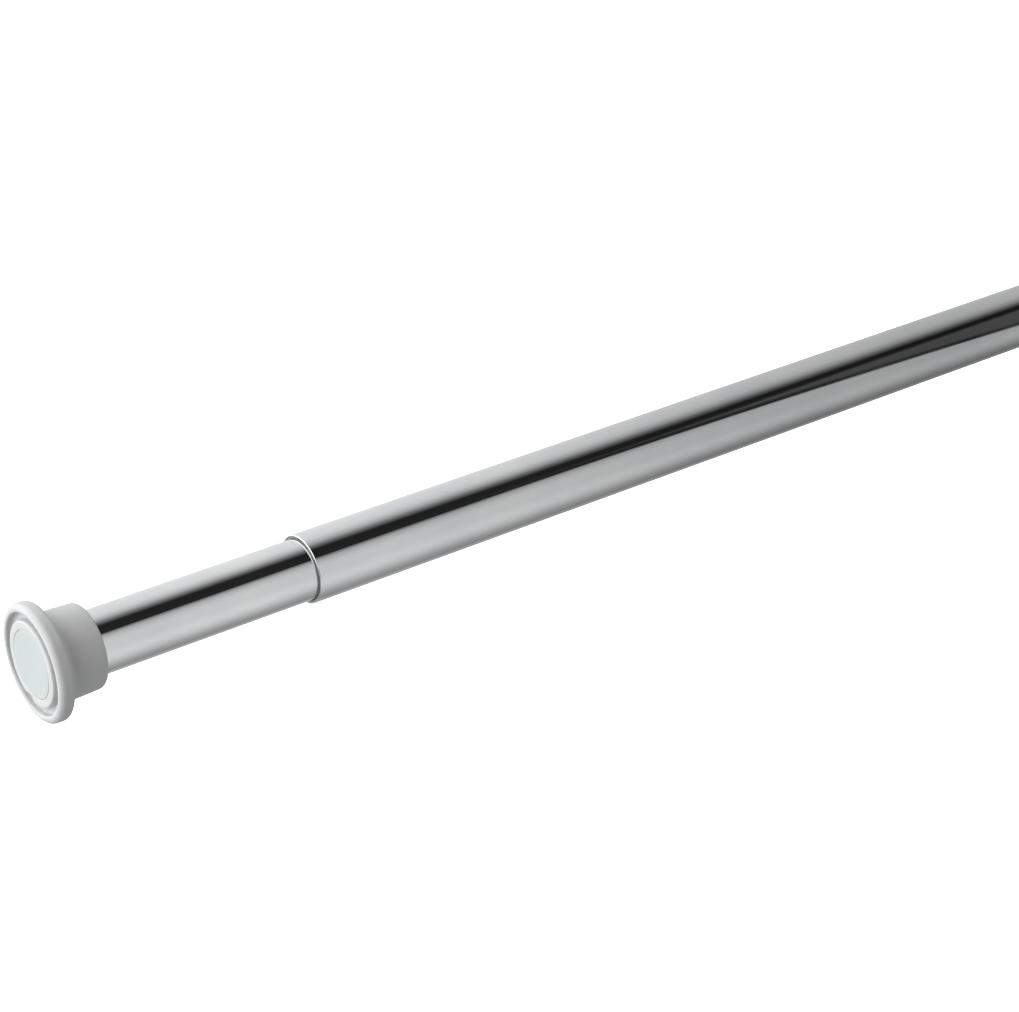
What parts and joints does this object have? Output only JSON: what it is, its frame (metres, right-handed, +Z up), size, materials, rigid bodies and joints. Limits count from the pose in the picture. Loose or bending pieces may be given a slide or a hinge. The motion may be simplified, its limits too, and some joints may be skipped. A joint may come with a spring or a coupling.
{
  "type": "telescopic tension rod",
  "caption": "Telescopic spring tension rod: a thin chromed tube slides in a thicker one, is set by a twist lock, and rubber feet grip the two sides of a window or shower opening.",
  "frame": {"origin": "centre of the fixed foot's wall face, on the rod's axis", "axes": "+X along the rod, from the fixed foot to the sliding foot; +Z up with the rod level; +Y completes the right-handed frame"},
  "size_m": [0.7564, 0.046, 0.046],
  "materials": {
    "chrome": "bright chrome plate on thin steel tube, very fine drawing lines along the tube",
    "foot_rubber": "pale grey moulded rubber, satin, with a parting line",
    "pad_plastic": "white moulded insert ring, smooth with a faint sheen",
    "grip_disc": "translucent cool white anti-slip disc, smooth",
    "bush_plastic": "mid grey guide liner",
    "white_nylon": "natural white nylon",
    "grey_acetal": "dark grey acetal with a waxy sheen",
    "grip_rubber": "black rubber",
    "zinc_steel": "zinc plated steel",
    "spring_steel": "drawn spring wire, lightly oiled"
  },
  "bodies": {
    "outer": {"outer_tube": "chrome", "fixed_foot": "foot_rubber", "fixed_core": "white_nylon", "fixed_pad": "pad_plastic", "fixed_grip_disc": "grip_disc", "mouth_bush": "bush_plastic"},
    "drag_ring": {"drag_ring": "grey_acetal"},
    "cam_shaft": {"cam_shaft": "grey_acetal", "cam_end_plate": "grey_acetal", "retaining_washer": "zinc_steel", "cam_screw": "zinc_steel", "plunger_rod": "zinc_steel", "plunger_pin": "zinc_steel", "spring_seat": "grey_acetal", "seat_clip": "zinc_steel"},
    "cam_roller": {"cam_roller": "white_nylon", "roller_grip_rings": "grip_rubber"},
    "inner": {"inner_tube": "chrome", "sliding_foot": "foot_rubber", "sliding_core": "white_nylon", "sliding_pad": "pad_plastic", "sliding_grip_disc": "grip_disc", "inner_guide": "white_nylon", "guide_rivets": "zinc_steel", "spring_stop": "white_nylon", "stop_rivets": "zinc_steel", "compression_spring": "spring_steel"}
  },
  "joints": [
    {"name": "telescope", "type": "slide", "parent": "outer", "child": "drag_ring", "axis": [1, 0, 0], "range_m": [-0.052, 0.3935]},
    {"name": "twist_lock", "type": "hinge", "parent": "drag_ring", "child": "cam_shaft", "pos_m": [0.09, 0, 0], "axis": [1, 0, 0], "range_deg": [-150, 0]},
    {"name": "roller_turn", "type": "hinge", "parent": "cam_shaft", "child": "cam_roller", "pos_m": [0.1074, 0.00038, 0.00066], "axis": [1, 0, 0], "range_deg": [0, 150]},
    {"name": "spring_stroke", "type": "slide", "parent": "cam_shaft", "child": "inner", "axis": [-1, 0, 0], "range_m": [0, 0.039], "stiffness_N_per_m": 2700, "springref_m": -0.01, "deforming": ["compression_spring"]}
  ],
  "couplings": [
    {"joint": "roller_turn", "follows": "twist_lock", "ratio": -1}
  ]
}
